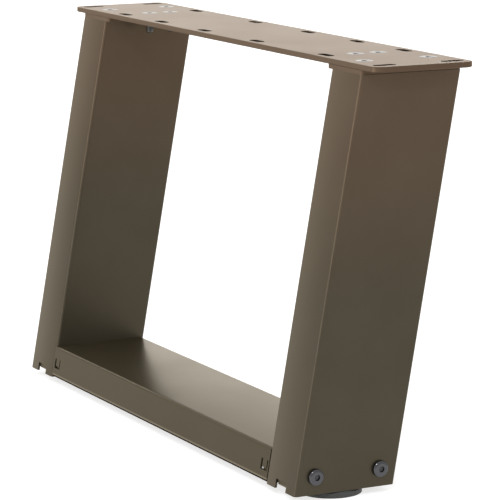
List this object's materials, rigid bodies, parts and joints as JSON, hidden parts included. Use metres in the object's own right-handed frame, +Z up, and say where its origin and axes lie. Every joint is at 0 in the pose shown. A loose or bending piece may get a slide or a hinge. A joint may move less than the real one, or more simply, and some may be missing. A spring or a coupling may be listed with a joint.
{
  "type": "u shaped table leg",
  "caption": "U shaped metal table leg with a slotted top plate, leaning folded posts, a base rail and round levelling feet.",
  "frame": {"origin": "centre of the top plate's upper face, where the table top rests", "axes": "+X along the top plate towards the right post, -Y the way the posts' feet reach, +Z up out of the plate"},
  "size_m": [0.64, 0.165, 0.379],
  "materials": {
    "bronze_coat": "satin bronze powder coat",
    "zinc": "bright zinc plate",
    "dark_steel": "dark gunmetal plate",
    "bare_steel": "plain zinc plated steel",
    "dark_plastic": "moulded, fine grained"
  },
  "bodies": {
    "frame": {"top_plate": "bronze_coat", "base_rail": "bronze_coat", "left_post": "bronze_coat", "left_cap_plate": "bronze_coat", "left_rail_end_plate": "bronze_coat", "left_foot_plate": "bronze_coat", "right_post": "bronze_coat", "right_cap_plate": "bronze_coat", "right_rail_end_plate": "bronze_coat", "right_foot_plate": "bronze_coat", "left_plate_screws": "zinc", "right_plate_screws": "zinc", "left_base_bolts": "dark_steel", "right_base_bolts": "dark_steel", "left_bolt_sleeves": "bare_steel", "left_foot_nut": "bare_steel", "right_bolt_sleeves": "bare_steel", "right_foot_nut": "bare_steel"},
    "left_stud": {"left_foot_stud": "bare_steel"},
    "left_pad": {"left_foot_pad": "dark_plastic"},
    "right_stud": {"right_foot_stud": "bare_steel"},
    "right_pad": {"right_foot_pad": "dark_plastic"}
  },
  "joints": [
    {"name": "left_foot_travel", "type": "slide", "parent": "frame", "child": "left_stud", "axis": [0, 0, -1], "range_m": [0, 0.0076]},
    {"name": "left_foot_turn", "type": "hinge", "parent": "left_stud", "child": "left_pad", "pos_m": [-0.2685, -0.06549, -0.379], "axis": [0, 0, -1], "range_deg": [0, 1800]},
    {"name": "right_foot_travel", "type": "slide", "parent": "frame", "child": "right_stud", "axis": [0, 0, -1], "range_m": [0, 0.0076]},
    {"name": "right_foot_turn", "type": "hinge", "parent": "right_stud", "child": "right_pad", "pos_m": [0.2685, -0.06549, -0.379], "axis": [0, 0, -1], "range_deg": [0, 1800]}
  ],
  "couplings": [
    {"joint": "left_foot_travel", "follows": "left_foot_turn", "m_per_rad": 0.00023873},
    {"joint": "right_foot_travel", "follows": "right_foot_turn", "m_per_rad": 0.00023873}
  ]
}
